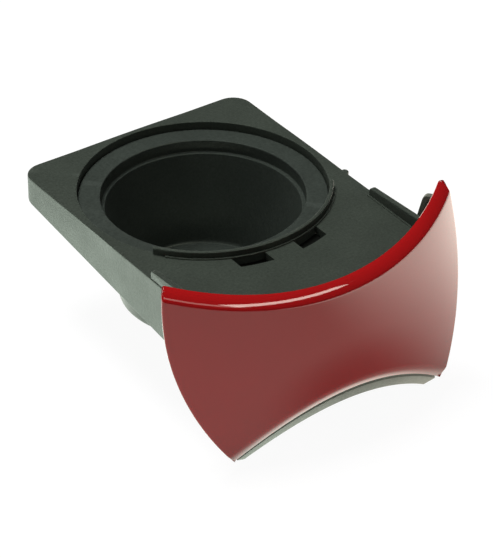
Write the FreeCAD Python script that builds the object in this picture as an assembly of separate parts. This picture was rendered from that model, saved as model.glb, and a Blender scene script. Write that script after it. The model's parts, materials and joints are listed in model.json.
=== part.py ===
"""Pod holder of a capsule coffee machine: a moulded drawer with a lift-out pod cup and a curved front.

Millimetres. The pieces are drawn about the pod axis (x = 0, y = 0) with the deck's top at z = 0,
+X to the right seen from the front, +Y to the back, and are then moved so that the origin lies at
the middle of the footprint, on the surface that the holder stands on.
"""
import FreeCAD, Part
import math
import os

V = FreeCAD.Vector
UP = V(0, 0, 1)
BACK = V(0, 1, 0)
RIGHT = V(1, 0, 0)

# Fits
PART_GAP = 0.3            # between moulded pieces that lie against each other
SCREW_PLAY = 0.05         # pilot hole over screw, on the radius
NEAR = 0.05               # points closer than this count as one place
HEIGHT_OVER_TABLE = 40.6  # deck top above the surface that the holder stands on

# Pod cup
POD_BORE_RADIUS = 27.5    # takes a pod with a 54 mm flange
POD_BORE_DEPTH = 3.5
LIP_WIDTH = 1.1           # narrow lip at the foot of the bore
WELL_FLOOR_RADIUS = 21.1
WELL_DEPTH = 25.8         # from the lip to the floor
CUP_WALL = 1.8
CUP_FLOOR = 1.7
FLANGE_WIDTH = 5.9        # from the bore to the flange's edge
FLANGE_THICKNESS = 1.8
FLANGE_DROP = 2.2         # flange top below the deck
OUTLET_RADIUS = 11.0
OUTLET_WALL = 1.8
CUP_FOOT_ROUND = 1.4

# Holder body
SIDE_MARGIN = 2.0         # deck beyond the recess at the sides
BACK_MARGIN = 1.45        # deck beyond the recess at the back
FRONT_DECK = 31.3         # from the recess to the cover's face
DECK_THICKNESS = 2.2
BACK_CORNER_RADIUS = 5.5
SHELF_THICKNESS = 2.0
TUB_WALL = 1.5
SKIRT_WALL = 1.8
SKIRT_DEPTH = 11.75       # at the pod axis
SKIRT_SLOPE = 0.121       # the skirt deepens towards the front
RIM_WIDTH = 1.1
RIM_HEIGHT = 2.0
RIM_HALF_ANGLE = 55.5     # degrees either side of the front
WINDOW_GAP = 0.6          # rim to window
WINDOW_LENGTH = 4.3
WINDOW_INNER_X = 4.5
WINDOW_WIDTH = 9.0
RAIL_INSET = 0.2
RAIL_WIDTH = 1.6
RAIL_START = 28.3         # ahead of the pod axis
RAIL_HEIGHT = 2.4
RAIL_RISE = 0.06          # the rail climbs towards the cover
RAIL_ROUND = 1.2
NUB_RADIUS = 1.1
NUB_HEIGHT = 3.0
NUB_AHEAD = 15.0          # ahead of the pod axis, on the right wall only
BOSS_RADIUS = 3.2
BOSS_DEPTH = 7.0
BOSS_X = 24.0
BOSS_INSET = 7.5          # boss axis behind the deck's front edge

# Front cover
COVER_RADIUS = 78.6       # plan radius of the outer face at deck level
FLARE_RADIUS = 385.0      # the face bows out as it goes down
FLARE_ANGLE = 11.1        # lean of the face at deck level, degrees
COVER_WALL = 2.0
COVER_SWEEP = 46.0        # half angle of the turned blank, degrees
COVER_HALF_WIDTH = 46.7
SIDE_ARC_RADIUS = 55.5    # the sides curve in above and below the widest level
SIDE_ARC_DEPTH = 2.5      # widest level below the deck
COVER_TOP = 4.6           # top edge above the deck at the middle
COVER_TOP_RISE = 6.0      # and more at the ends
COVER_FOOT_DEPTH = 38.3   # tips below the deck
COVER_ARCH = 12.5         # height of the arch between the tips
TOP_ROUND = 1.7
FOOT_ROUND = 1.5
TONGUE_INSET = 3.3        # end tongues inside the cover's widest places

# Front backing
BACKING_WALL = 1.8
BACKING_INSET = 1.0       # backing's sides inside the cover's sides
LIP_REACH = 1.3           # top of the bevelled lip, behind the cover's face
LIP_BEVEL = 2.3           # how far the bevel leans in at the middle
LIP_TIP_BEVEL = 3.4       # and at the tips
LIP_EDGE = 0.8            # flat under the lip
LIP_ARCH_DEPTH = 29.6     # lip below the deck at the middle
LIP_STATIONS = 9
HOOP_TOP = 7.5            # above the deck
HOOP_DEPTH = 6.1          # its back edge behind the cover's face, at the top
HOOP_LEAN = 0.245         # the back edge leans in as it goes down
HOOP_WALL = 1.5
HOOP_WIDTH = 1.7
HOOP_ROUND = 1.4
ARM_SIDE_PLAY = 0.5
ARM_THICKNESS = 1.6
BARB_LENGTH = 1.2
BARB_HEIGHT = 1.3
TAB_THICKNESS = 2.0
TAB_HALF_WIDTH = 4.0

# Front screws
SCREW_RADIUS = 1.25
SCREW_LENGTH = 7.0
SCREW_HEAD_RADIUS = 2.6
SCREW_HEAD_HEIGHT = 1.8
DRIVE_RADIUS = 1.0
DRIVE_DEPTH = 1.0

# Levels and radii that follow
FLANGE_RADIUS = POD_BORE_RADIUS + FLANGE_WIDTH
FLANGE_TOP = -FLANGE_DROP
SHELF_TOP = FLANGE_TOP - FLANGE_THICKNESS
LIP_LEVEL = FLANGE_TOP - POD_BORE_DEPTH
LIP_RADIUS = POD_BORE_RADIUS - LIP_WIDTH
WELL_FLOOR = LIP_LEVEL - WELL_DEPTH
CUP_BOTTOM = WELL_FLOOR - CUP_FLOOR
CUP_NECK_RADIUS = POD_BORE_RADIUS + CUP_WALL
CUP_NECK_FOOT = LIP_LEVEL - CUP_WALL
RECESS_RADIUS = FLANGE_RADIUS + PART_GAP
SHELF_HOLE_RADIUS = CUP_NECK_RADIUS + PART_GAP
RIM_OUTER = RECESS_RADIUS + RIM_WIDTH
DECK_HALF_WIDTH = RECESS_RADIUS + SIDE_MARGIN
DECK_BACK = RECESS_RADIUS + BACK_MARGIN
COVER_AXIS_Y = COVER_RADIUS - RECESS_RADIUS - FRONT_DECK
BACKING_FACE = COVER_WALL + PART_GAP
BACKING_REAR = BACKING_FACE + BACKING_WALL
DECK_FRONT_RADIUS = COVER_RADIUS - BACKING_REAR - PART_GAP
WINDOW_INNER = RIM_OUTER + WINDOW_GAP
WINDOW_OUTER = WINDOW_INNER + WINDOW_LENGTH
BOSS_Y = COVER_AXIS_Y + BOSS_INSET - math.sqrt(DECK_FRONT_RADIUS ** 2 - BOSS_X ** 2)
BOSS_FOOT = -DECK_THICKNESS - BOSS_DEPTH
TAB_FOOT = BOSS_FOOT - TAB_THICKNESS
TONGUE_ANGLE = math.degrees(math.asin((COVER_HALF_WIDTH - TONGUE_INSET) / COVER_RADIUS))
FLARE_CENTRE_RADIUS = COVER_RADIUS - FLARE_RADIUS * math.cos(math.radians(FLARE_ANGLE))
FLARE_CENTRE_LEVEL = -FLARE_RADIUS * math.sin(math.radians(FLARE_ANGLE))
CUTTER = 4 * COVER_RADIUS  # longer than any piece, for through cuts


def cylinder(radius, low, high, x=0.0, y=0.0):
    """Upright cylinder between two levels."""
    return Part.makeCylinder(radius, high - low, V(x, y, low), UP)


def ring(inner, outer, low, high):
    """Upright ring about the pod axis."""
    return cylinder(outer, low, high).cut(cylinder(inner, low, high))


def box(x0, x1, y0, y1, z0, z1):
    """Box between two corners."""
    return Part.makeBox(x1 - x0, y1 - y0, z1 - z0, V(x0, y0, z0))


def mirrored(shape):
    """The same shape on the other side of the middle plane."""
    return shape.mirror(V(0, 0, 0), RIGHT)


def lines(points):
    """Closed wire of straight runs."""
    return Part.makePolygon(points + points[:1])


def turned(profile):
    """Solid of revolution about the pod axis from (radius, level) points."""
    wire = lines([V(r, 0, z) for r, z in profile])
    return Part.Face(wire).revolve(V(0, 0, 0), UP, 360)


def face_radius(setback, level):
    """Plan radius, about the cover's axis, of the surface that lies setback inside the cover's face."""
    reach = FLARE_RADIUS - setback
    return FLARE_CENTRE_RADIUS + math.sqrt(reach ** 2 - (level - FLARE_CENTRE_LEVEL) ** 2)


def face_point(setback, x, level):
    """Point of that surface at one x and level."""
    return V(x, COVER_AXIS_Y - math.sqrt(face_radius(setback, level) ** 2 - x ** 2), level)


def side_x(level, inset=0.0):
    """Half width of the cover's outline at a level, on an arc."""
    run = math.sqrt(SIDE_ARC_RADIUS ** 2 - (level + SIDE_ARC_DEPTH) ** 2)
    return COVER_HALF_WIDTH - SIDE_ARC_RADIUS + run - inset


def arch_level(share, middle, tip_x, tip):
    """Level of the arch through the tips and the middle, at a share of the way out to a tip."""
    rise = middle - tip
    radius = (tip_x ** 2 + rise ** 2) / (2 * rise)
    return middle - radius + math.sqrt(radius ** 2 - (share * tip_x) ** 2)


def outline_wire(plane, top_end, top_middle, tip, arch_middle, inset):
    """Front view of the cover or the backing, thrown from the cover's axis on to an upright plane."""
    def at(x, z):
        depth = COVER_AXIS_Y - face_point(0, x, z).y
        return V(x * (COVER_AXIS_Y - plane) / depth, plane, z)

    def across(x, end, middle):
        if middle == end:
            return Part.LineSegment(at(-x, end), at(x, end))
        return Part.Arc(at(-x, end), at(0, middle), at(x, end))

    top_x = side_x(top_end, inset)
    tip_x = side_x(tip, inset)
    bulge_level = (top_end + tip) / 2
    bulge_x = side_x(bulge_level, inset)
    edges = [
        across(top_x, top_end, top_middle),
        Part.Arc(at(top_x, top_end), at(bulge_x, bulge_level), at(tip_x, tip)),
        across(-tip_x, tip, arch_middle),
        Part.Arc(at(-tip_x, tip), at(-bulge_x, bulge_level), at(-top_x, top_end)),
    ]
    return Part.Wire([edge.toShape() for edge in edges])


def front_outline(*levels_and_inset):
    """Solid whose edges run straight at the cover's axis, from behind the front to well ahead of it."""
    behind = -RECESS_RADIUS
    ahead = behind - 2 * FRONT_DECK
    wires = [outline_wire(plane, *levels_and_inset) for plane in (behind, ahead)]
    return Part.makeLoft(wires, True, True)


def turned_shell(outer_setback, inner_setback, top, foot):
    """Blank of the cover or backing: two bowed arcs turned about the cover's axis."""
    def arc(setback):
        middle = (top + foot) / 2
        return [V(face_radius(setback, z), 0, z) for z in (foot, middle, top)]

    outer = arc(outer_setback)
    inner = arc(inner_setback)
    wire = Part.Wire([
        Part.Arc(*outer).toShape(),
        Part.LineSegment(outer[2], inner[2]).toShape(),
        Part.Arc(*reversed(inner)).toShape(),
        Part.LineSegment(inner[0], outer[0]).toShape(),
    ])
    face = Part.Face(wire)
    face.rotate(V(0, 0, 0), UP, 270 - COVER_SWEEP)
    shell = face.revolve(V(0, 0, 0), UP, 2 * COVER_SWEEP)
    shell.translate(V(0, COVER_AXIS_Y, 0))
    return shell


def radial_plate(points):
    """Plate in the radial plane of the right tongue, from (radius, level) points about the cover's axis."""
    half = HOOP_WIDTH / 2
    plate = Part.Face(lines([V(-half, -r, z) for r, z in points])).extrude(RIGHT * HOOP_WIDTH)
    plate.rotate(V(0, 0, 0), UP, TONGUE_ANGLE)
    plate.translate(V(0, COVER_AXIS_Y, 0))
    return plate


def hoop_plate(margin, reach):
    """The hoop's outline drawn smaller by margin at its back, top and foot, out to a plan radius."""
    top = HOOP_TOP - margin
    foot = margin - HOOP_WALL
    back = face_radius(HOOP_DEPTH, HOOP_TOP) + margin
    return radial_plate([
        (back + HOOP_LEAN * (foot - HOOP_TOP), foot),
        (back + HOOP_LEAN * (top - HOOP_TOP), top),
        (reach, top),
        (reach, foot),
    ])


def window(clearance, inner, outer, low, high):
    """Curved slot beside the rim on the right, drawn smaller all round by clearance."""
    slot = ring(inner + clearance, outer - clearance, low, high)
    left = WINDOW_INNER_X + clearance
    right = WINDOW_INNER_X + WINDOW_WIDTH - clearance
    return slot.common(box(left, right, -outer, 0, low, high))


def pod_cup():
    """Lift-out cup: flange, straight pod bore, narrow lip, tapered well and a round outlet."""
    outlet_outer = OUTLET_RADIUS + OUTLET_WALL
    foot_radius = WELL_FLOOR_RADIUS + CUP_WALL
    neck_taper = LIP_RADIUS + CUP_WALL
    cup = turned([
        (FLANGE_RADIUS, FLANGE_TOP),
        (POD_BORE_RADIUS, FLANGE_TOP),
        (POD_BORE_RADIUS, LIP_LEVEL),
        (LIP_RADIUS, LIP_LEVEL),
        (WELL_FLOOR_RADIUS, WELL_FLOOR),
        (OUTLET_RADIUS, WELL_FLOOR),
        (OUTLET_RADIUS, -HEIGHT_OVER_TABLE),
        (outlet_outer, -HEIGHT_OVER_TABLE),
        (outlet_outer, CUP_BOTTOM),
        (foot_radius, CUP_BOTTOM),
        (neck_taper, CUP_NECK_FOOT),
        (CUP_NECK_RADIUS, CUP_NECK_FOOT),
        (CUP_NECK_RADIUS, SHELF_TOP),
        (FLANGE_RADIUS, SHELF_TOP),
    ])
    foot_edges = [
        edge for edge in cup.Edges
        if abs(edge.BoundBox.ZMax - CUP_BOTTOM) < NEAR
        and abs(edge.BoundBox.XMax - foot_radius) < NEAR
    ]
    return cup.makeFillet(CUP_FOOT_ROUND, foot_edges)


def deck_outline(inset):
    """Plan of the deck inside its sides and back, with rounded back corners, square at the front."""
    half = DECK_HALF_WIDTH - inset
    back = DECK_BACK - inset
    corner = BACK_CORNER_RADIUS - inset
    front = -DECK_FRONT_RADIUS - RECESS_RADIUS
    bend = corner * (1 - math.sqrt(0.5))
    edges = [
        Part.LineSegment(V(-half, front, 0), V(half, front, 0)),
        Part.LineSegment(V(half, front, 0), V(half, back - corner, 0)),
        Part.Arc(V(half, back - corner, 0), V(half - bend, back - bend, 0), V(half - corner, back, 0)),
        Part.LineSegment(V(half - corner, back, 0), V(corner - half, back, 0)),
        Part.Arc(V(corner - half, back, 0), V(bend - half, back - bend, 0), V(-half, back - corner, 0)),
        Part.LineSegment(V(-half, back - corner, 0), V(-half, front, 0)),
    ]
    return Part.Face(Part.Wire([edge.toShape() for edge in edges]))


def slab(inset, low, high):
    """The deck's plan between two levels."""
    return deck_outline(inset).extrude(V(0, 0, high - low)).translated(V(0, 0, low))


def skirt():
    """Wall round the sides and back, whose lower edge slopes down towards the front."""
    deepest = -SKIRT_DEPTH - SKIRT_SLOPE * (DECK_FRONT_RADIUS + RECESS_RADIUS)
    wall = slab(0, deepest, 0).cut(slab(SKIRT_WALL, deepest, 0))
    reach = DECK_FRONT_RADIUS + RECESS_RADIUS
    under = lines([
        V(-CUTTER / 2, -reach, -SKIRT_DEPTH - SKIRT_SLOPE * reach),
        V(-CUTTER / 2, reach, -SKIRT_DEPTH + SKIRT_SLOPE * reach),
        V(-CUTTER / 2, reach, -CUTTER),
        V(-CUTTER / 2, -reach, -CUTTER),
    ])
    return wall.cut(Part.Face(under).extrude(V(CUTTER, 0, 0)))


def rim():
    """Raised arc along the front of the recess, with rounded ends."""
    half = math.radians(RIM_HALF_ANGLE)
    middle = RECESS_RADIUS + RIM_WIDTH / 2
    end_x = middle * math.sin(half)
    end_y = -middle * math.cos(half)
    reach = CUTTER / 2
    sector = lines([
        V(0, 0, 0),
        V(-reach * math.sin(half), -reach * math.cos(half), 0),
        V(0, -CUTTER, 0),
        V(reach * math.sin(half), -reach * math.cos(half), 0),
    ])
    low = -DECK_THICKNESS
    wedge = Part.Face(sector).extrude(V(0, 0, RIM_HEIGHT - low)).translated(V(0, 0, low))
    arc = ring(RECESS_RADIUS, RIM_OUTER, low, RIM_HEIGHT).common(wedge)
    ends = [cylinder(RIM_WIDTH / 2, low, RIM_HEIGHT, x, end_y) for x in (end_x, -end_x)]
    return arc.multiFuse(ends)


def rail():
    """Right guide rail on the deck's edge, with a rounded start, climbing towards the cover."""
    x = DECK_HALF_WIDTH - RAIL_INSET - RAIL_WIDTH
    front = -DECK_FRONT_RADIUS
    length = -RAIL_START - front
    start = V(x, -RAIL_START, RAIL_HEIGHT)
    bend = RAIL_ROUND * (1 - math.sqrt(0.5))
    edges = [
        Part.LineSegment(V(x, front, -DECK_THICKNESS), V(x, -RAIL_START, -DECK_THICKNESS)),
        Part.LineSegment(V(x, -RAIL_START, -DECK_THICKNESS), start - UP * RAIL_ROUND),
        Part.Arc(start - UP * RAIL_ROUND, start - (UP + BACK) * bend, start - BACK * RAIL_ROUND),
        Part.LineSegment(start - BACK * RAIL_ROUND, V(x, front, RAIL_HEIGHT + RAIL_RISE * length)),
        Part.LineSegment(V(x, front, RAIL_HEIGHT + RAIL_RISE * length), V(x, front, -DECK_THICKNESS)),
    ]
    wire = Part.Wire([edge.toShape() for edge in edges])
    return Part.Face(wire).extrude(RIGHT * RAIL_WIDTH)


def holder_body():
    """Moulded drawer: deck, tub with the cup's shelf, skirt, rim, rails, nub and screw bosses."""
    tub_foot = SHELF_TOP - SHELF_THICKNESS
    deck = slab(0, -DECK_THICKNESS, 0)
    tub = cylinder(RECESS_RADIUS + TUB_WALL, tub_foot, 0)
    bosses = [cylinder(BOSS_RADIUS, BOSS_FOOT, -DECK_THICKNESS, x, BOSS_Y) for x in (BOSS_X, -BOSS_X)]
    nub = cylinder(NUB_RADIUS, -NUB_HEIGHT, 0, DECK_HALF_WIDTH, -NUB_AHEAD)
    right_rail = rail()
    body = deck.multiFuse([tub, skirt(), right_rail, mirrored(right_rail), nub] + bosses)
    body = body.cut(cylinder(RECESS_RADIUS, SHELF_TOP, RIM_HEIGHT))
    body = body.cut(cylinder(SHELF_HOLE_RADIUS, tub_foot, SHELF_TOP))
    body = body.fuse(rim())
    right_window = window(0, WINDOW_INNER, WINDOW_OUTER, -DECK_THICKNESS, 0)
    pilot_top = TAB_FOOT + SCREW_LENGTH + PART_GAP
    pilots = [
        cylinder(SCREW_RADIUS + SCREW_PLAY, BOSS_FOOT, pilot_top, x, BOSS_Y) for x in (BOSS_X, -BOSS_X)
    ]
    body = body.cut(Part.makeCompound([right_window, mirrored(right_window)] + pilots))
    front_trim = cylinder(DECK_FRONT_RADIUS, -CUTTER / 2, CUTTER / 2, 0, COVER_AXIS_Y)
    return body.common(front_trim).removeSplitter()


def front_cover():
    """Gloss shell of the front: bowed, dipped along the top, arched below, rounded along its edges."""
    top_end = COVER_TOP + COVER_TOP_RISE
    blank = turned_shell(0, COVER_WALL, top_end + COVER_WALL, -COVER_FOOT_DEPTH - COVER_WALL)
    outline = front_outline(top_end, COVER_TOP, -COVER_FOOT_DEPTH, COVER_ARCH - COVER_FOOT_DEPTH, 0)
    cover = blank.common(outline)

    def outer_edges(kind):
        return [edge for edge in cover.Edges if edge_kind(edge) == kind]

    def edge_kind(edge):
        point = edge.valueAt((edge.FirstParameter + edge.LastParameter) / 2)
        reach = math.hypot(point.x, point.y - COVER_AXIS_Y)
        if abs(reach - face_radius(0, point.z)) > NEAR:
            return None
        if abs(point.x) > NEAR:
            return "side"
        return "top" if point.z > 0 else "foot"

    cover = cover.makeFillet(TOP_ROUND, outer_edges("top"))
    cover = cover.makeFillet(FOOT_ROUND, outer_edges("foot"))
    tongue = hoop_plate(HOOP_WALL + PART_GAP, COVER_RADIUS)
    tongue = tongue.cut(turned_shell(-COVER_WALL, COVER_WALL / 2, top_end, -COVER_WALL))
    return cover.multiFuse([tongue, mirrored(tongue)]).removeSplitter()


def bevelled_lip():
    """Lip under the cover's arched edge, its face leaning in as it goes down, longer than it ends up."""
    def bearing(x, level):
        return math.asin(x / face_radius(0, level))

    def place(setback, angle, level):
        reach = face_radius(setback, level)
        return V(reach * math.sin(angle), COVER_AXIS_Y - reach * math.cos(angle), level)

    cover_tip = side_x(-COVER_FOOT_DEPTH)
    cover_end = bearing(cover_tip, -COVER_FOOT_DEPTH)
    lip_tip = side_x(-HEIGHT_OVER_TABLE, BACKING_INSET)
    lip_end = bearing(lip_tip, -HEIGHT_OVER_TABLE)
    rear = LIP_REACH + LIP_TIP_BEVEL + LIP_EDGE
    sections = []
    for station in range(LIP_STATIONS):
        angle = cover_end * (2 * station / (LIP_STATIONS - 1) - 1)
        cover_share = math.tan(angle) / math.tan(cover_end)
        lip_share = math.tan(angle) / math.tan(lip_end)
        arch = arch_level(cover_share, COVER_ARCH - COVER_FOOT_DEPTH, cover_tip, -COVER_FOOT_DEPTH)
        top = arch - PART_GAP
        foot = -LIP_ARCH_DEPTH - (HEIGHT_OVER_TABLE - LIP_ARCH_DEPTH) * lip_share ** 2
        bevel = LIP_BEVEL + (LIP_TIP_BEVEL - LIP_BEVEL) * cover_share ** 2
        sections.append(lines([
            place(LIP_REACH, angle, top),
            place(LIP_REACH + bevel, angle, foot),
            place(rear, angle, foot),
            place(rear, angle, top),
        ]))
    return Part.makeLoft(sections, True, False)


def end_hoop():
    """Hooped bracket behind the cover's right end, round the cover's tongue."""
    hoop = hoop_plate(0, face_radius(BACKING_FACE, 0))
    crown = [edge for edge in hoop.Edges if edge.BoundBox.ZMin > HOOP_TOP - NEAR]
    corner = max(crown, key=lambda edge: edge.CenterOfMass.y)
    return hoop.makeFillet(HOOP_ROUND, [corner]).cut(hoop_plate(HOOP_WALL, COVER_RADIUS))


def snap_arm():
    """Right arm under the deck, whose barb stands in the window behind its front edge."""
    left = WINDOW_INNER_X + ARM_SIDE_PLAY
    right = WINDOW_INNER_X + WINDOW_WIDTH - ARM_SIDE_PLAY
    top = -DECK_THICKNESS - PART_GAP
    barb_inner = WINDOW_OUTER - ARM_SIDE_PLAY - BARB_LENGTH
    root = face_point(BACKING_REAR - BACKING_WALL / 2, 0, top).y
    run = box(left, right, root, 0, top - ARM_THICKNESS, top)
    run = run.cut(cylinder(barb_inner, top - ARM_THICKNESS, top))
    barb = window(ARM_SIDE_PLAY, barb_inner - ARM_SIDE_PLAY, WINDOW_OUTER, top, top + BARB_HEIGHT)
    return run.fuse(barb)


def screw_tab():
    """Right tab that lies against the deck's boss and takes a screw from below."""
    root = face_point(BACKING_REAR - BACKING_WALL / 2, BOSS_X, TAB_FOOT).y
    left = BOSS_X - TAB_HALF_WIDTH
    tab = box(left, left + 2 * TAB_HALF_WIDTH, root, BOSS_Y, TAB_FOOT, BOSS_FOOT)
    tab = tab.fuse(cylinder(TAB_HALF_WIDTH, TAB_FOOT, BOSS_FOOT, BOSS_X, BOSS_Y))
    return tab.cut(cylinder(SCREW_RADIUS + PART_GAP, TAB_FOOT, BOSS_FOOT, BOSS_X, BOSS_Y))


def front_backing():
    """Black frame behind the cover: bowed plate, bevelled lip, end hoops, snap arms and screw tabs."""
    blank = turned_shell(BACKING_FACE, BACKING_REAR, COVER_WALL, -HEIGHT_OVER_TABLE)
    in_lip_middle = (COVER_ARCH - COVER_FOOT_DEPTH - LIP_ARCH_DEPTH) / 2
    in_lip_tip = -(COVER_FOOT_DEPTH + HEIGHT_OVER_TABLE) / 2
    plate = blank.common(front_outline(COVER_WALL, COVER_WALL, in_lip_tip, in_lip_middle, -COVER_WALL))
    sides = front_outline(0, 0, -HEIGHT_OVER_TABLE, -HEIGHT_OVER_TABLE, BACKING_INSET)
    front = plate.fuse(bevelled_lip()).common(sides)
    halves = [end_hoop(), snap_arm(), screw_tab()]
    backing = front.multiFuse(halves + [mirrored(half) for half in halves])
    top_end = COVER_TOP + COVER_TOP_RISE
    cover_space = turned_shell(0, BACKING_FACE, top_end, -COVER_FOOT_DEPTH)
    above_lip = front_outline(top_end, COVER_TOP, -COVER_FOOT_DEPTH, COVER_ARCH - COVER_FOOT_DEPTH, 0)
    return backing.cut(cover_space.common(above_lip)).removeSplitter()


def front_screws():
    """Two pan-head screws, driven up through the tabs into the deck's bosses."""
    screws = []
    for x in (BOSS_X, -BOSS_X):
        head_foot = TAB_FOOT - SCREW_HEAD_HEIGHT
        shank = cylinder(SCREW_RADIUS, TAB_FOOT, TAB_FOOT + SCREW_LENGTH, x, BOSS_Y)
        head = cylinder(SCREW_HEAD_RADIUS, head_foot, TAB_FOOT, x, BOSS_Y)
        drive = cylinder(DRIVE_RADIUS, head_foot, head_foot + DRIVE_DEPTH, x, BOSS_Y)
        screws.append(head.fuse(shank).cut(drive).removeSplitter())
    return Part.makeCompound(screws)


def main():
    """Build every piece, move them to the standing frame and write them out."""
    pieces = {
        "holder_body": holder_body(),
        "pod_cup": pod_cup(),
        "front_backing": front_backing(),
        "front_cover": front_cover(),
        "front_screws": front_screws(),
    }
    whole = Part.makeCompound(list(pieces.values())).optimalBoundingBox(False, False)
    move = V(0, -(whole.YMin + whole.YMax) / 2, HEIGHT_OVER_TABLE)
    os.makedirs("parts", exist_ok=True)
    for name, shape in pieces.items():
        placed = shape.translated(move)
        placed.exportStep(os.path.join("parts", name + ".step"))
        print(name, "solids", len(placed.Solids), "volume", round(placed.Volume, 1), "valid", placed.isValid())
    print("pod axis at y", round(move.y, 3), "size", whole.XLength, whole.YLength, whole.ZLength)


main()
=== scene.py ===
"""Pod holder of a capsule coffee machine: moulded tray, lift-out pod cup and red gloss front."""

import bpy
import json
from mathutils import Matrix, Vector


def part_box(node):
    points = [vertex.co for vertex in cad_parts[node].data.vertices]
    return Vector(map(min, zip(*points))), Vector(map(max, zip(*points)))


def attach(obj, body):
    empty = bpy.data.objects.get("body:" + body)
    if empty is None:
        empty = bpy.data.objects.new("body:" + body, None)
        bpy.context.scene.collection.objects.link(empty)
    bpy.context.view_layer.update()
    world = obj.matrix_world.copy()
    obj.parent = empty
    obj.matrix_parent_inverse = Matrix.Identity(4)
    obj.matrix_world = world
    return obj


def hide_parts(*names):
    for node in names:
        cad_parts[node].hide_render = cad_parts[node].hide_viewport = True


bl_info = {
    "name": "Pod holder",
    "version": (1, 0, 0),
    "blender": (4, 5, 0),
    "location": "View3D > Sidebar > Pod holder",
    "description": "Builds the tray, the pod cup and the red front of a coffee pod holder on its CAD frame",
    "category": "Object",
}

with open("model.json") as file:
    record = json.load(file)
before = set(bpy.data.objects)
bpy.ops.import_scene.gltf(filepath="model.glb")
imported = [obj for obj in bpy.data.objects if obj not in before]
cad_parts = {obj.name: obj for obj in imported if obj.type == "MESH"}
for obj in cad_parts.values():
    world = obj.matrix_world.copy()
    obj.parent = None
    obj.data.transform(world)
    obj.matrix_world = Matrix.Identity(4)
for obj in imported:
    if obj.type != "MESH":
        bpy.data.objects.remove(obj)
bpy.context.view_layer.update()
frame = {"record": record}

import json
import math

import bmesh
import bpy
import numpy as np
from bpy.props import FloatProperty, FloatVectorProperty, PointerProperty

# The pieces are drawn in millimetres about the pod axis, with the deck's top at level 0
FLANGE_DROP = 2.2
POD_SEAT = next(mount for mount in frame["record"]["mounts"] if mount["name"] == "pod_seat")
ORIGIN = np.array([0.0, POD_SEAT["pos_m"][1] * 1000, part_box("pod_cup")[1].z * 1000 + FLANGE_DROP])
FOOT_LEVEL = -ORIGIN[2]
HOLD = 0.12               # extra loop beside each rounded edge, which keeps the flats flat
CUT_SHARE = 0.45          # most that a round may take of the shorter edge beside it
HOLD_SHARE = 1.05         # furthest that the extra loop may stand, as a share of that most
BURIED = 0.3              # depth of bars and rails below the deck's top
MERGE_DISTANCE = 4e-6     # in metres
SHARP_ANGLE = math.radians(50)
MIX_FIRST, MIX_SECOND, MIX_RESULT = 6, 7, 2  # colour sockets of a Mix node

# Tray
RECESS_RADIUS = 33.7
RECESS_CLEAR = 0.15       # least distance of the skirt's inner face from the recess
SHELF_HOLE_RADIUS = 29.6
SHELF_LEVEL = -4.0
TUB_FOOT = -6.0
TUB_OUTER = 34.9
DECK_HALF_WIDTH = 35.7
DECK_BACK = 35.15
BACK_CORNER = 5.5
DECK_UNDER = -2.2
DECK_FRONT_RADIUS = 74.2
SKIRT_WALL = 1.8
SKIRT_DEPTH = 11.75
SKIRT_SLOPE = 0.121
RIM_MIDDLE = 34.24
RIM_HALF = 0.56
RIM_HEIGHT = 2.0
RIM_ANGLE = math.radians(55.5)
BEAD_MIDDLE = 35.08
BEAD_HALF = 0.32
BEAD_HEIGHT = 0.4
BEAD_ANGLE = math.radians(50)
BAR_END = math.radians(84)
BAR_COLUMNS = 90
WINDOW_RADII = (35.4, 39.7)
SLOT_RINGS = (WINDOW_RADII[0] - HOLD, *WINDOW_RADII, WINDOW_RADII[1] + HOLD)
WINDOW_X = (4.5, 13.5)
RAIL_X = (33.9, 35.5)
RAIL_START = -28.3
RAIL_END = -51.6
RAIL_HEIGHT = 2.4
RAIL_RISE = 0.06
LEDGE_HEIGHT = 0.25
LEDGE_HALF = 0.3
LEDGE_INSET = 0.25
NUB = (35.7, -15.0, 1.1)  # x, y and radius
NUB_LEVELS = (-3.0, 0.02)
BOSS_X = 24.0
BOSS_INSET = 7.5
BOSS_RADIUS = 3.2
BOSS_FOOT = -9.2
BOSS_TOP = DECK_UNDER + 0.2

# Pod cup
FLANGE_RADIUS = 33.4
BORE_RADIUS = 27.5
BORE_FOOT = -5.7
WELL_RADII = (26.4, 21.1)  # at the lip and at the floor
WELL_FLOOR = -31.5
FLOOR_UNDER = -33.2
OUTLET_RADIUS = 11.0
CUP_WALL = 1.8

# Front
AXIS_Y = 13.6             # upright axis that the front is turned about
FACE_RADIUS = 78.6
FLARE_RADIUS = 385.0
FLARE_ANGLE = math.radians(11.1)
COVER_WALL = 2.0
BEVEL_TILTS = (math.radians(31), math.radians(38))
BEVEL_TURN = 0.36
BAND_DEPTHS = (4.5, 2.5)  # below the top edge, between which the wall thickens
BAND_EXTRA = 0.2
EDGE_STEP = 0.2           # the inner face stops this short of the top and the foot
SIDE_ROUND = (0.8, 0.7)   # along the width and into the face
COVER_COLUMNS = 148
FOOT_TAPER = 0.3
FOOT_EASE = 1.5
HALF_WIDTH = 46.22
SIDE_ARC = 58.0
UPPER_SIDE_ARC = 75.0
SIDE_LEVEL = -2.5
COVER_TOP = 4.6
COVER_TOP_END = 10.6
COVER_ARCH = -26.0
COVER_BOW = 0.0115
BACKING_FACE = 2.3
BACKING_REAR = 4.1
BACKING_INSET = 1.0
LIP_INSET = 0.6
LIP_REACH = 2.2
LIP_BEVEL = (2.0, 2.2)
LIP_REAR = 5.5
LIP_ARCH = -30.7
LIP_BOW = 0.0109
LIP_GAP = 1.05
LIP_LEAST = 0.6
LIP_SHARE = 0.97
PART_GAP = 0.3
HOOP_X = 43.4
HOOP_ANGLE = math.asin(HOOP_X / FACE_RADIUS)
HOOP_TOP = 7.5
HOOP_DEPTH = 6.1
HOOP_LEAN = 0.245
HOOP_WALL = 1.5
HOOP_WIDTH = 1.7
ARM_X = (4.2, 13.8)
TONGUE_LEVELS = (0.3, 5.7)
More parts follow.
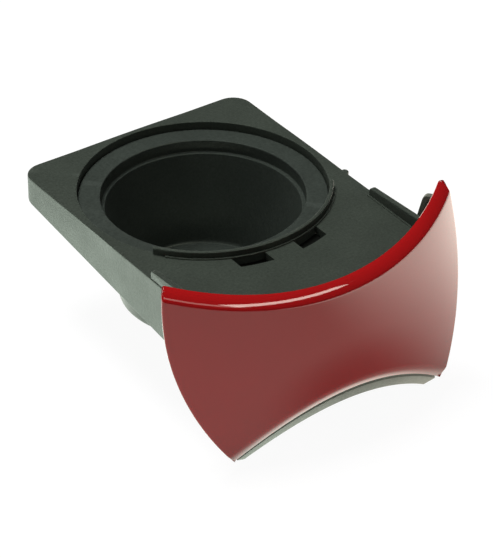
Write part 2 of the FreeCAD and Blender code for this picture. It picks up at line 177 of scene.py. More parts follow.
TONGUE_ROOT = 1.5
ARM_LEVELS = (-4.1, -2.5, -2.25)  # foot, top and barb
BARB_RADII = (38.0, 39.2)
ARM_TIP_RADIUS = 34.8
TAB_LEVELS = (-11.2, -9.2)
TAB_HALF_WIDTH = 4.0
ROOT_SETBACK = 3.2        # where arms and tabs start, inside the backing

# Screws
SCREW_RADIUS = 1.25
SCREW_TOP = -4.2
SCREW_HOLE = 1.3
SCREW_CORE = 0.02         # a turned shell stays clear of its own axis
HEAD_RADIUS = 2.6
HEAD_FOOT = -13.0
HEAD_FLAT = 1.6
HEAD_DOME = 0.7
SOCKET_RADIUS = 1.0
SOCKET_DEPTHS = (1.0, 1.1)  # at the wall and in the middle
LOBE_SHARE = 0.14
LOBE_LIMIT = 1.2          # radius within which the socket is lobed

# Studio, in metres
FLOOR_REACH = 4.0
FLOOR_SHADE = 0.1         # of the paper that takes the shadow
FLOOR_GLOW = 0.94
# middle of the shadow that is painted on the floor as it is seen in reflections
PAINTED_SHADOW_SPOT = (0.02, -0.082, 0)
FILL = 0.2
AIM = (0, 0, 0.02)
STRIP_COLOUR = (1, 0.94, 0.84)
SENSOR_HEIGHT = 36
LENS = 215.45
CAMERA_PLACE = (-0.41989, -0.60795, 0.5158)
CAMERA_TURN = (math.radians(56.16), 0, math.radians(-34.78))


def face_radius(setback, level):
    """Plan radius about the front's axis of the surface that lies setback inside the bowed face: an arc of
    FLARE_RADIUS less setback, in the radial plane, about one centre."""
    centre = FACE_RADIUS - FLARE_RADIUS * math.cos(FLARE_ANGLE)
    drop = level + FLARE_RADIUS * math.sin(FLARE_ANGLE)
    return centre + np.sqrt((FLARE_RADIUS - setback) ** 2 - drop ** 2)


def side_x(level):
    """Half width of the front at a level: two circles that meet at SIDE_LEVEL, where it is widest."""
    arc = np.where(level > SIDE_LEVEL, UPPER_SIDE_ARC, SIDE_ARC)
    return HALF_WIDTH - arc + np.sqrt(arc ** 2 - (level - SIDE_LEVEL) ** 2)


def front_point(x, level, setback):
    """Point of the front: x on the outer face gives the bearing asin(x / face radius), and the point lies on
    that bearing at the radius of the surface that is setback inside."""
    bearing = np.arcsin(x / face_radius(0, level))
    reach = face_radius(setback, level)
    return np.stack([reach * np.sin(bearing), AXIS_Y - reach * np.cos(bearing), level + 0 * reach], axis=-1)


def arch_level(share, crown, bow):
    """Level of an arched foot at a share of the half width: the parabola crown less bow times x squared, where x
    is the share times the half width at that level, met by repeated rounds."""
    level = crown + 0 * share
    for _ in range(30):
        level = crown - bow * (share * side_x(level)) ** 2
    return level


def deck_front(x):
    """Front edge of the deck: a circle about the front's axis."""
    return AXIS_Y - np.sqrt(DECK_FRONT_RADIUS ** 2 - x ** 2)


def smooth(t):
    """The smooth step 3t^2 - 2t^3."""
    return t ** 2 * (3 - 2 * t)


def rounded(corners, cuts, steps=4):
    """Closed loop of corners with each corner P turned into the curve P + t((1 - s)^2 u + s^2 v), where u and v
    point at its neighbours, s runs from 0 to 1 and t is the length cut off. A corner with no cut stays a point."""
    corners = np.asarray(corners, float)
    before = np.roll(corners, 1, axis=-2) - corners
    after = np.roll(corners, -1, axis=-2) - corners
    reach_before = np.linalg.norm(before, axis=-1, keepdims=True)
    reach_after = np.linalg.norm(after, axis=-1, keepdims=True)
    u = before / np.maximum(reach_before, 1e-9)
    v = after / np.maximum(reach_after, 1e-9)
    cuts = np.asarray(cuts, float)
    room = CUT_SHARE * np.minimum(reach_before, reach_after)[..., 0]
    t = np.minimum(cuts, room)[..., None, None]
    hold = np.minimum(t + HOLD, HOLD_SHARE * room[..., None, None])
    s = np.linspace(0, 1, steps + 1)[:, None]
    curve = corners[..., None, :] + t * ((1 - s) ** 2 * u[..., None, :] + s ** 2 * v[..., None, :])
    start = corners[..., None, :] + hold * u[..., None, :]
    end = corners[..., None, :] + hold * v[..., None, :]
    whole = np.concatenate([start, curve, end], axis=-2)
    runs = [whole[..., i, :, :] if cut else corners[..., i, None, :] for i, cut in enumerate(cuts)]
    return np.concatenate(runs, axis=-2)


def quads(columns, rows, close_columns=False):
    """Faces of a grid of columns by rows, whose rows close into a loop, as an array of columns by rows by four
    corners."""
    c = np.arange(columns if close_columns else columns - 1)[:, None]
    r = np.arange(rows)[None, :]
    right = (c + 1) % columns
    up = (r + 1) % rows
    return np.stack([c * rows + r, right * rows + r, right * rows + up, c * rows + up], axis=-1)


def carried(points, close=False, caps="flat"):
    """Shell of a closed profile carried along a path: points is columns by rows by three. Flat caps are single
    faces, paired caps join each row to the row opposite."""
    columns, rows = points.shape[:2]
    faces = quads(columns, rows, close).reshape(-1, 4).tolist()
    if not close:
        ends = (np.arange(rows), np.arange(rows) + (columns - 1) * rows)
        if caps == "flat":
            faces += [end.tolist() for end in ends]
        else:
            half = np.arange(rows // 2 - 1)
            pairs = np.stack([half, half + 1, rows - 2 - half, rows - 1 - half], axis=-1)
            faces += [end[pair].tolist() for end in ends for pair in pairs]
    return points.reshape(-1, 3), faces


def turned(profile, cuts, x=0.0, y=0.0, count=192, lobes=None):
    """Shell of a closed (radius, level) profile turned about an upright axis at x, y."""
    loop = rounded(profile, cuts)
    angle = np.linspace(0, 2 * math.pi, count, endpoint=False)[:, None]
    radius = loop[None, :, 0] if lobes is None else lobes(angle, loop[None, :, 0], loop[None, :, 1])
    level = loop[None, :, 1] + 0 * angle
    points = np.stack([x + radius * np.sin(angle), y - radius * np.cos(angle), level], axis=-1)
    return carried(points, close=True)


def plate(loop, half, edge, place):
    """Shell of a closed plane loop given a thickness of twice half, its two rims rounded by edge: near a rim the
    loop is drawn in along its normals by edge(1 - sin a) while the height falls short by edge(1 - cos a)."""
    along = np.roll(loop, -1, axis=0) - np.roll(loop, 1, axis=0)
    along /= np.linalg.norm(along, axis=-1, keepdims=True)
    area = np.sum(loop[:, 0] * np.roll(loop[:, 1], -1) - loop[:, 1] * np.roll(loop[:, 0], -1))
    outward = np.stack([along[:, 1], -along[:, 0]], axis=-1) * np.sign(area)
    a = np.linspace(0, math.pi / 2, 4)
    inset = np.concatenate([edge * (1 - np.sin(a)), [0]])
    height = np.concatenate([half - edge * (1 - np.cos(a)), [half - edge - HOLD]])
    inset = np.concatenate([inset, inset[::-1]])
    height = np.concatenate([-height, height[::-1]])
    flat = loop[None] - inset[:, None, None] * outward[None]
    return carried(place(flat[..., 0], flat[..., 1], height[:, None] + 0 * flat[..., 0]))


def mirrored(shell):
    """The same shell on the other side of the middle plane."""
    points, faces = shell
    return points * np.array([-1, 1, 1]), faces


def make_piece(name, shells, material, body, node):
    """One object from several closed shells, with doubles merged and faces turned outwards."""
    starts = np.cumsum([0] + [len(points) for points, _ in shells])
    points = (np.concatenate([points for points, _ in shells]) + ORIGIN) / 1000
    faces = [[corner + int(start) for corner in face] for (_, rows), start in zip(shells, starts) for face in rows]
    mesh = bpy.data.meshes.new(name)
    mesh.from_pydata(points.tolist(), [], faces)
    work = bmesh.new()
    work.from_mesh(mesh)
    bmesh.ops.remove_doubles(work, verts=work.verts, dist=MERGE_DISTANCE)
    bmesh.ops.recalc_face_normals(work, faces=work.faces)
    work.to_mesh(mesh)
    work.free()
    mesh.shade_smooth()
    mesh.set_sharp_from_angle(angle=SHARP_ANGLE)
    mesh.materials.append(material)
    piece = bpy.data.objects.new(name, mesh)
    bpy.context.scene.collection.objects.link(piece)
    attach(piece, body)
    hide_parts(node)


def add_node(tree, kind, **inputs):
    """New shader node with its sockets set, or linked where the value is another node's socket."""
    node = tree.nodes.new(kind)
    for key, value in inputs.items():
        socket = node.inputs[key.replace("_", " ")]
        if isinstance(value, bpy.types.NodeSocket):
            tree.links.new(value, socket)
        else:
            socket.default_value = value
    return node


def blank_material(name):
    """Material with an output, a main shader and object coordinates."""
    material = bpy.data.materials.new(name)
    material.use_nodes = True
    tree = material.node_tree
    tree.nodes.clear()
    shader = tree.nodes.new("ShaderNodeBsdfPrincipled")
    output = tree.nodes.new("ShaderNodeOutputMaterial")
    tree.links.new(shader.outputs["BSDF"], output.inputs["Surface"])
    place = tree.nodes.new("ShaderNodeTexCoord").outputs["Object"]
    return material, tree, shader, place


def eased(tree, value, start, end, low, high, kind="SMOOTHSTEP"):
    """A number that goes from low to high while the value runs from start to end."""
    node = add_node(tree, "ShaderNodeMapRange", Value=value)
    node.interpolation_type = kind
    for name, number in (("From Min", start), ("From Max", end), ("To Min", low), ("To Max", high)):
        node.inputs[name].default_value = number
    return node.outputs["Result"]


def spread(tree, noise, low, high):
    """The middle of a noise's 0 to 1 spread evenly over a range."""
    return eased(tree, noise.outputs["Fac"], 0.3, 0.7, low, high, "LINEAR")


def tinted(tree, fac, first, second):
    """Colour between two colours."""
    node = tree.nodes.new("ShaderNodeMix")
    node.data_type = "RGBA"
    tree.links.new(fac, node.inputs[0])
    node.inputs[MIX_FIRST].default_value = (*first, 1)
    node.inputs[MIX_SECOND].default_value = (*second, 1)
    return node


def moulded_plastic(name, colour, roughness, grain, shine):
    """Dark moulded plastic: cloudy colour and gloss, a fine spark-eroded grain, and edges made paler by a painted
    highlight.
    """
    material, tree, shader, place = blank_material(name)
    colour = np.array(colour)
    cloud = add_node(tree, "ShaderNodeTexNoise", Vector=place, Scale=70.0, Detail=4.0, Roughness=0.55)
    fine = add_node(tree, "ShaderNodeTexNoise", Vector=place, Scale=1500.0, Detail=3.0, Roughness=0.65)
    mottle = add_node(tree, "ShaderNodeMath")
    mottle.operation = "MULTIPLY"
    tree.links.new(spread(tree, cloud, 0.6, 1.0), mottle.inputs[0])
    tree.links.new(spread(tree, fine, 0.2, 1.0), mottle.inputs[1])
    shade = tinted(tree, mottle.outputs[0], colour * 0.68, colour * 1.42)
    # Painted highlight: where the surface bends sharply the colour is lightened, standing in for the light that rounded
    # edges catch
    edges = tree.nodes.new("ShaderNodeNewGeometry").outputs["Pointiness"]
    painted_edge_highlight = eased(tree, edges, 0.53, 0.62, 0.0, 0.15, "LINEAR")
    colour_with_painted_edge_highlight = tinted(tree, painted_edge_highlight, colour, np.minimum(colour * 2.2 + 0.02, 1))
    tree.links.new(shade.outputs[MIX_RESULT], colour_with_painted_edge_highlight.inputs[MIX_FIRST])
    tree.links.new(colour_with_painted_edge_highlight.outputs[MIX_RESULT], shader.inputs["Base Color"])
    tree.links.new(spread(tree, cloud, roughness - 0.05, roughness + 0.05), shader.inputs["Roughness"])
    shader.inputs["Specular IOR Level"].default_value = shine
    shader.inputs["Specular Tint"].default_value = (0.87, 1.0, 0.86, 1)
    bump = add_node(tree, "ShaderNodeBump", Height=fine.outputs["Fac"], Strength=grain, Distance=0.0001)
    tree.links.new(bump.outputs["Normal"], shader.inputs["Normal"])
    return material


def gloss_lacquer(name, colour):
    """Red gloss: deep colour under a clear coat, with faint orange peel and gloss that varies in soft patches."""
    material, tree, shader, place = blank_material(name)
    colour = np.array(colour)
    cloud = add_node(tree, "ShaderNodeTexNoise", Vector=place, Scale=25.0, Detail=3.0, Roughness=0.5)
    peel = add_node(tree, "ShaderNodeTexNoise", Vector=place, Scale=260.0, Detail=2.0, Roughness=0.4)
    shade = tinted(tree, spread(tree, cloud, 0.0, 1.0), colour * 0.96, colour * 1.04)
    tree.links.new(shade.outputs[MIX_RESULT], shader.inputs["Base Color"])
    tree.links.new(spread(tree, cloud, 0.03, 0.06), shader.inputs["Roughness"])
    shader.inputs["Coat Weight"].default_value = 0.2
    shader.inputs["Coat Roughness"].default_value = 0.04
    bump = add_node(tree, "ShaderNodeBump", Height=peel.outputs["Fac"], Strength=0.04, Distance=0.00004)
    tree.links.new(bump.outputs["Normal"], shader.inputs["Normal"])
    return material


def plated_steel(name, colour):
    """Zinc-plated steel with a turned grain."""
    material, tree, shader, place = blank_material(name)
    colour = np.array(colour)
    cloud = add_node(tree, "ShaderNodeTexNoise", Vector=place, Scale=900.0, Detail=3.0, Roughness=0.6)
    shade = tinted(tree, spread(tree, cloud, 0.0, 1.0), colour * 0.85, colour)
    tree.links.new(shade.outputs[MIX_RESULT], shader.inputs["Base Color"])
    shader.inputs["Metallic"].default_value = 1.0
    tree.links.new(spread(tree, cloud, 0.25, 0.4), shader.inputs["Roughness"])
    bump = add_node(tree, "ShaderNodeBump", Height=cloud.outputs["Fac"], Strength=0.15, Distance=0.00004)
    tree.links.new(bump.outputs["Normal"], shader.inputs["Normal"])
    return material


def deck_columns():
    """Right half of the deck's plan as columns from the recess to the outline, front to back: recess point,
    the window's two radii, outline point, skirt's inner point and whether a skirt hangs there."""
    near, far = WINDOW_X
    strips = np.array([0, 1.5, 3, near - HOLD, near, near + HOLD, 6.75, 9, 11.25, far - HOLD, far, far + HOLD])
    recess = [np.stack([strips, -np.sqrt(RECESS_RADIUS ** 2 - strips ** 2)], -1)]
    slots = [np.stack([strips, -np.sqrt(radius ** 2 - strips ** 2)], -1) for radius in SLOT_RINGS]
    outline = [np.stack([strips, deck_front(strips)], -1)]
    inner = [outline[0] + [0, SKIRT_WALL]]

    def on_recess(angle):
        return RECESS_RADIUS * np.stack([np.sin(angle), -np.cos(angle)], -1)

    # Rest of the front edge, ending at the corner, without a skirt
    start = math.asin(strips[-1] / RECESS_RADIUS)
    turn = math.radians(45)
    share = np.linspace(0, 1, 10)[1:]
    x = strips[-1] + (DECK_HALF_WIDTH - strips[-1]) * share
    recess.append(on_recess(start + (turn - start) * share))
    outline.append(np.stack([x, deck_front(x)], -1))
    pulled = np.stack([x, deck_front(x) + SKIRT_WALL], -1)
    corner_x = DECK_HALF_WIDTH - SKIRT_WALL
    corner_inner = np.array([corner_x, deck_front(corner_x)])
    pulled[-1] = corner_inner
    inner.append(pulled)

    # Side, from the same corner, with a skirt
    straight = math.radians(75)
    share = np.linspace(0, 1, 14)
    low = deck_front(DECK_HALF_WIDTH)
    high = -DECK_HALF_WIDTH / math.tan(straight)
    y = low + (high - low) * share
    recess.append(on_recess(turn + (straight - turn) * share))
    outline.append(np.stack([DECK_HALF_WIDTH + 0 * y, y], -1))
    side_inner = np.stack([corner_x + 0 * y, y], -1)
    side_inner[0] = corner_inner
    inner.append(side_inner)

    # Rest of the side, the rounded corner and the back, on rays from the pod axis
    centre = np.array([DECK_HALF_WIDTH - BACK_CORNER, DECK_BACK - BACK_CORNER])
    y = np.linspace(high, centre[1], 20)[1:]
    bend = np.linspace(0, math.pi / 2, 10)[1:, None]
    arc = np.concatenate([np.cos(bend), np.sin(bend)], -1)
    x = np.linspace(centre[0], 0, 16)[1:]
    rest = np.concatenate([
        np.stack([DECK_HALF_WIDTH + 0 * y, y], -1), centre + BACK_CORNER * arc, np.stack([x, DECK_BACK + 0 * x], -1),
    ])
    rest_inner = np.concatenate([
        np.stack([corner_x + 0 * y, y], -1),
        centre + (BACK_CORNER - SKIRT_WALL) * arc,
        np.stack([x, DECK_BACK - SKIRT_WALL + 0 * x], -1),
    ])
    recess.append(RECESS_RADIUS * rest / np.linalg.norm(rest, axis=-1, keepdims=True))
    outline.append(rest)
    inner.append(rest_inner)

    recess, outline, inner = (np.concatenate(part) for part in (recess, outline, inner))
    reach = np.linalg.norm(inner, axis=-1, keepdims=True)
    inner = inner * np.maximum(1, (RECESS_RADIUS + RECESS_CLEAR) / reach)
    parts = np.linspace(0, 1, len(SLOT_RINGS) + 2)[1:-1]
    above = [recess + (outline - recess) * part for part in parts]
    below = [recess + (inner - recess) * part for part in parts]
    for over, under, slot in zip(above, below, slots):
        over[:len(strips)] = slot
        under[:len(strips)] = slot
    skirted = np.arange(len(outline)) >= len(strips) + len(pulled)
    return recess, above, outline, inner, below, skirted


def deck_shell(edge):
    """Deck with its skirt: a closed section carried round the recess, with two windows left open and walled."""
    recess, above, outline, inner, below, skirted = deck_columns()
    foot = np.where(skirted, -SKIRT_DEPTH + SKIRT_SLOPE * outline[:, 1], DECK_UNDER)
    inner_foot = np.where(skirted, -SKIRT_DEPTH + SKIRT_SLOPE * inner[:, 1], DECK_UNDER)
    under = np.full(len(foot), DECK_UNDER)
    stations = [(recess, 0 * foot)] + [(ring, 0 * foot) for ring in above] + [
        (outline, 0 * foot), (outline, foot), (inner, inner_foot), (inner, under),
    ] + [(ring, under) for ring in below[::-1]] + [(recess, under)]
    corners = np.stack([np.concatenate([plan, level[:, None]], -1) for plan, level in stations], axis=1)
    left = corners[-2:0:-1] * np.array([-1, 1, 1])
    corners = np.concatenate([corners, left])
    points = rounded(corners, [0.25, 0, 0, 0, 0, edge, 0.35, 0.3, 0.3, 0, 0, 0, 0, 0.1])
    columns, rows = points.shape[:2]
    faces = quads(columns, rows, close_columns=True)
    keep = np.ones(faces.shape[:2], bool)
    span = 7                                     # points of a rounded corner
    top = (span + 1, span + 2)
    bottom = (rows - span - 2, rows - span - 3)
    slot_columns = np.arange(4, 11)              # strips between the window's two sides
    runs = (slot_columns, columns - slot_columns[::-1])
    walls = []
    for run in runs:
        keep[run[0]:run[-1], top[0]] = False
        keep[run[0]:run[-1], bottom[1]] = False
        ring = np.concatenate([run * rows + top[0], run[::-1] * rows + top[1]])
        low = np.concatenate([run * rows + bottom[0], run[::-1] * rows + bottom[1]])
        walls.append(np.stack([ring, np.roll(ring, -1), np.roll(low, -1), low], -1))
    return points.reshape(-1, 3), faces[keep].tolist() + np.concatenate(walls).tolist()


def bar_on_arc(radius, half_width, height, half_angle, edge):
    """Bar with rounded edges carried along an arc about the pod axis, narrowed to a half circle at each end."""
    a = np.linspace(0, BAR_END, 6)[1:]
    arc = np.linspace(-half_angle, half_angle, BAR_COLUMNS)
    bearing = np.concatenate([0 * a - half_angle, arc, 0 * a + half_angle])
    beyond = half_width * np.concatenate([-np.sin(a[::-1]), 0 * arc, np.sin(a)])
    half = half_width * np.concatenate([np.cos(a[::-1]), 0 * arc + 1, np.cos(a)])
    out = np.stack([np.sin(bearing), -np.cos(bearing), 0 * bearing], -1)
    along = np.stack([np.cos(bearing), np.sin(bearing), 0 * bearing], -1)
    middle = radius * out + beyond[:, None] * along
    up = np.array([0, 0, 1.0])
    corners = np.stack([
        middle - half[:, None] * out - BURIED * up, middle - half[:, None] * out + height * up,
        middle + half[:, None] * out + height * up, middle + half[:, None] * out - BURIED * up,
    ], axis=1)
    return carried(rounded(corners, [0.02, edge, edge, 0.02]))


def rail_shell():
    """Right guide rail: a side view with a rounded start, given a thickness across."""
    top_end = RAIL_HEIGHT + RAIL_RISE * (RAIL_START - RAIL_END)
    loop = rounded(
        [(RAIL_START, -BURIED), (RAIL_START, RAIL_HEIGHT), (RAIL_END, top_end), (RAIL_END, -BURIED)],
        [0.05, 1.3, 0.2, 0.05], 8)
    middle = sum(RAIL_X) / 2
    return plate(loop, (RAIL_X[1] - RAIL_X[0]) / 2, 0.3, lambda y, z, x: np.stack([middle + x, y, z], -1))


def boss_y():
    """Place of the screws behind the deck's front edge."""
    return deck_front(BOSS_X) + BOSS_INSET


def tray_shells(sizes):
    """Deck, tub, rim, rails, nub and screw bosses."""
    turn = np.linspace(0, 2 * math.pi, 40, endpoint=False)
    x, y, radius = NUB
    low, high = NUB_LEVELS
    nub = plate(radius * np.stack([np.cos(turn), np.sin(turn)], -1), (high - low) / 2, 0.25,
                lambda u, v, z: np.stack([x + u, y + v, z + (high + low) / 2], -1))
    tub = turned(
        [(SHELF_HOLE_RADIUS, SHELF_LEVEL), (RECESS_RADIUS, SHELF_LEVEL), (RECESS_RADIUS, DECK_UNDER),
         (TUB_OUTER, DECK_UNDER), (TUB_OUTER, TUB_FOOT), (SHELF_HOLE_RADIUS, TUB_FOOT)],
        [0.15, 0.15, 0.02, 0.02, 0.3, 0.2])
    boss = turned(
        [(SCREW_HOLE, BOSS_TOP), (SCREW_HOLE, BOSS_FOOT), (BOSS_RADIUS, BOSS_FOOT), (BOSS_RADIUS, BOSS_TOP)],
        [0.02, 0.15, 0.3, 0.02], BOSS_X, boss_y(), 48)
    rail = rail_shell()
    ledge = plate(
        rounded(
            [(RAIL_START, -BURIED), (RAIL_START, LEDGE_HEIGHT), (RAIL_END, LEDGE_HEIGHT), (RAIL_END, -BURIED)],
            [0.05, 0.1, 0.1, 0.05]),
        LEDGE_HALF, 0.1, lambda y, z, x: np.stack([RAIL_X[0] - LEDGE_INSET + x, y, z], -1))
    deck = deck_shell(sizes.deck_round * 1000)
    rim = bar_on_arc(RIM_MIDDLE, RIM_HALF, RIM_HEIGHT, RIM_ANGLE, sizes.rim_round * 1000)
    bead = bar_on_arc(BEAD_MIDDLE, BEAD_HALF, BEAD_HEIGHT, BEAD_ANGLE, BEAD_HALF)
    return [deck, tub, rim, bead, rail, mirrored(rail), ledge, mirrored(ledge), nub, boss, mirrored(boss)]


def cup_shells(sizes):
    """Pod cup: flange, straight bore, narrow lip, tapered well, floor and outlet collar, turned as one."""
    edge = sizes.cup_round * 1000
    mouth, bottom = WELL_RADII
    lip_under = BORE_FOOT - CUP_WALL
    return [turned(
        [(FLANGE_RADIUS, -FLANGE_DROP), (BORE_RADIUS, -FLANGE_DROP), (BORE_RADIUS, BORE_FOOT), (mouth, BORE_FOOT),
         (bottom, WELL_FLOOR), (OUTLET_RADIUS, WELL_FLOOR), (OUTLET_RADIUS, FOOT_LEVEL),
         (OUTLET_RADIUS + CUP_WALL, FOOT_LEVEL), (OUTLET_RADIUS + CUP_WALL, FLOOR_UNDER),
         (bottom + CUP_WALL, FLOOR_UNDER), (mouth + CUP_WALL, lip_under), (BORE_RADIUS + CUP_WALL, lip_under),
         (BORE_RADIUS + CUP_WALL, SHELF_LEVEL), (FLANGE_RADIUS, SHELF_LEVEL)],
        [edge, edge, 0.15, 0.25, 0.9, 0.4, 0.3, 0.3, 0.4, 1.4, 0.3, 0.3, 0.3, 0.3], count=224)]


def cover_shells(sizes):
    """Red shell: a closed section, outer face up and inner face down, carried across the front. At a share s of
    the width the point at a level has x = s times the half width there. The foot is a chamfer eased into the
    face; the top is a broad bevel, the running sum of the sine and cosine of a tilt that rises fast, then slowly."""
    drop, reach = sizes.cover_top_drop * 1000, sizes.cover_top_reach * 1000
    foot_rise, foot_reach = sizes.cover_foot_rise * 1000, sizes.cover_foot_reach * 1000
    a = np.linspace(0, math.pi / 2, 6)
    bend = SIDE_ROUND[0] / HALF_WIDTH
    tail = 1 - bend * (1 - np.sin(a))
    share = np.concatenate([-tail[::-1], np.linspace(-tail[0], tail[0], COVER_COLUMNS + 2)[1:-1], tail])[:, None]
    pull = SIDE_ROUND[1] * (1 - np.cos(a))
    draw = np.concatenate([pull[::-1], np.zeros(COVER_COLUMNS), pull])[:, None]
    top = COVER_TOP + (COVER_TOP_END - COVER_TOP) * share ** 2
    foot = arch_level(share, COVER_ARCH, COVER_BOW)
    foot_rise = foot_rise * (1 - FOOT_TAPER * share ** 2)
    q = np.linspace(0, 1, 40)[None, 1:-1]
    u = np.linspace(0, 1, 12)[None]
    run = np.linspace(0, 1, 25)
    quick = np.clip(run / BEVEL_TURN, 0, 1)
    tilt = BEVEL_TILTS[0] * smooth(quick) + BEVEL_TILTS[1] * np.clip(run - BEVEL_TURN, 0, 1)
    inward = np.cumsum(np.sin(tilt))[None] / np.sum(np.sin(tilt))
    upward = np.cumsum(np.cos(tilt))[None] / np.sum(np.cos(tilt))
    level = np.concatenate([
        foot + foot_rise * u, foot + foot_rise + q * (top - drop - foot - foot_rise), top - drop * (1 - upward),
    ], axis=1)
    setback = np.concatenate([foot_reach * (1 - u) ** FOOT_EASE, 0 * q, reach * inward], axis=1) + 0 * top
    back = np.linspace(0, 1, level.shape[1])[None]
    inner_level = (top - EDGE_STEP) + back * (foot - top + 2 * EDGE_STEP)
    thick = np.clip((inner_level - top + BAND_DEPTHS[0]) / (BAND_DEPTHS[0] - BAND_DEPTHS[1]), 0, 1)
    inner = COVER_WALL + (reach + BAND_EXTRA - COVER_WALL) * smooth(thick)
    level = np.concatenate([level, inner_level], axis=1)
    setback = np.concatenate([setback, inner], axis=1)
    setback = draw + setback * (1 - draw)
    shell = carried(front_point(share * side_x(level), level, setback), caps="paired")

    low, high = TONGUE_LEVELS
    rear = face_radius(HOOP_DEPTH, HOOP_TOP) + HOOP_WALL + PART_GAP
    tongue = plate(rounded(
        [(rear + HOOP_LEAN * (low - HOOP_TOP), low), (rear + HOOP_LEAN * (high - HOOP_TOP), high),
         (face_radius(TONGUE_ROOT, high), high), (face_radius(TONGUE_ROOT, low), low)],
        [0.4, 0.4, 0.05, 0.05]), HOOP_WIDTH / 2, 0.2, at_hoop)
    return [shell, tongue, mirrored(tongue)]


def at_hoop(radius, level, across):
    """Place in the upright plane through the front's axis at the hoop's bearing."""
    sine, cosine = math.sin(HOOP_ANGLE), math.cos(HOOP_ANGLE)
    return np.stack([radius * sine + across * cosine, AXIS_Y - radius * cosine + across * sine, level], -1)


def hoop_shell():
    """End hoop: a rounded U in the radial plane, open towards the cover, given a thickness."""
    back = face_radius(HOOP_DEPTH, HOOP_TOP)
    foot = -HOOP_WALL
    inner_top = HOOP_TOP - HOOP_WALL
    loop = rounded([
        (face_radius(BACKING_FACE, HOOP_TOP), HOOP_TOP),
        (back, HOOP_TOP),
        (back + HOOP_LEAN * (foot - HOOP_TOP), foot),
        (face_radius(BACKING_FACE, foot), foot),
        (face_radius(BACKING_FACE, 0), 0),
        (back + HOOP_WALL - HOOP_LEAN * HOOP_TOP, 0),
        (back + HOOP_WALL - HOOP_LEAN * HOOP_WALL, inner_top),
        (face_radius(BACKING_FACE, inner_top), inner_top),
    ], [0.1, 1.5, 0.4, 0.1, 0.1, 0.3, 0.5, 0.1], 8)
    return plate(loop, HOOP_WIDTH / 2, 0.25, at_hoop)


def arm_shell():
    """Snap arm: an L-shaped section carried across, whose barb follows the window's arc."""
    x = np.linspace(*ARM_X, 13)[:, None]
    low, high, barb = ARM_LEVELS
    root = front_point(0 * x, high + 0 * x, ROOT_SETBACK + 0 * x)[..., 1]
    tip, near, far = (-np.sqrt(radius ** 2 - x ** 2) for radius in (ARM_TIP_RADIUS, *BARB_RADII))
    y = np.concatenate([root, root, far, far, near, near, tip, tip], 1)
    z = np.array([[low, high, high, barb, barb, high, high, low]]) + 0 * x
    return carried(rounded(np.stack([x + 0 * y, y, z], -1), [0.05, 0.05, 0.1, 0.2, 0.2, 0.1, 0.05, 0.3]))


def tab_shell():
    """Screw tab: a tongue with a round end, given a thickness."""
    low, high = TAB_LEVELS
    root = float(front_point(np.array(BOSS_X), np.array(low), np.array(ROOT_SETBACK))[1])
    turn = np.linspace(0, math.pi, 24)
    end = np.stack([BOSS_X + TAB_HALF_WIDTH * np.cos(turn), boss_y() + TAB_HALF_WIDTH * np.sin(turn)], -1)
    sides = np.array([[BOSS_X - TAB_HALF_WIDTH, root], [BOSS_X + TAB_HALF_WIDTH, root]])
    loop = np.concatenate([end, sides])
    middle = (low + high) / 2
    return plate(loop, (high - low) / 2, 0.25, lambda x, y, z: np.stack([x, y, middle + z], -1))


def backing_shells():
    """Black backing: a section with a plate behind the cover and a bevelled lip below it, carried across, with
    end hoops and screw tabs."""
    share = np.linspace(-1, 1, 121)[:, None]
    foot = np.maximum(arch_level(LIP_SHARE * share, LIP_ARCH, LIP_BOW), FOOT_LEVEL)
    under = np.maximum(arch_level(LIP_SHARE * share, COVER_ARCH - LIP_GAP, COVER_BOW), foot + LIP_LEAST)
    bevel = LIP_REACH + LIP_BEVEL[0] + (LIP_BEVEL[1] - LIP_BEVEL[0]) * share ** 2
    flat = 0 * share
    level = np.concatenate([flat, flat, under, under, foot, foot, under, under], 1)
    setback = np.concatenate([
        flat + BACKING_FACE, flat + BACKING_REAR, flat + BACKING_REAR, flat + LIP_REAR, flat + LIP_REAR, bevel,
        flat + LIP_REACH, flat + BACKING_FACE,
    ], 1)
    across = side_x(level) - np.array([2 * [BACKING_INSET] + 6 * [LIP_INSET]])
    corners = front_point(share * across, level, setback)
    front = carried(rounded(corners, [0.3, 0.3, 0.2, 0.2, 0.25, 0.25, 0.15, 0.1]))
    halves = [hoop_shell(), tab_shell()]
    return [front] + halves + [mirrored(half) for half in halves]


def screw_shells():
    """Pan-head screws: a turned shank and domed head, the head's socket drawn in and out by six lobes."""
    def lobes(angle, radius, level):
        inside = (radius < LOBE_LIMIT) & (level < low)
        return np.where(inside, radius * (1 - LOBE_SHARE + LOBE_SHARE * np.cos(6 * angle)), radius + 0 * angle)

    low = TAB_LEVELS[0]
    screw = turned(
        [(SCREW_CORE, SCREW_TOP), (SCREW_RADIUS, SCREW_TOP), (SCREW_RADIUS, low), (HEAD_RADIUS, low),
         (HEAD_RADIUS, HEAD_FOOT + HEAD_DOME), (HEAD_FLAT, HEAD_FOOT), (SOCKET_RADIUS, HEAD_FOOT),
         (SOCKET_RADIUS, HEAD_FOOT + SOCKET_DEPTHS[0]), (SCREW_CORE, HEAD_FOOT + SOCKET_DEPTHS[1])],
        [0.005, 0.3, 0.1, 0.12, 0.4, 0.3, 0.08, 0.1, 0.005], BOSS_X, boss_y(), 72, lobes)
    return [screw, mirrored(screw)]


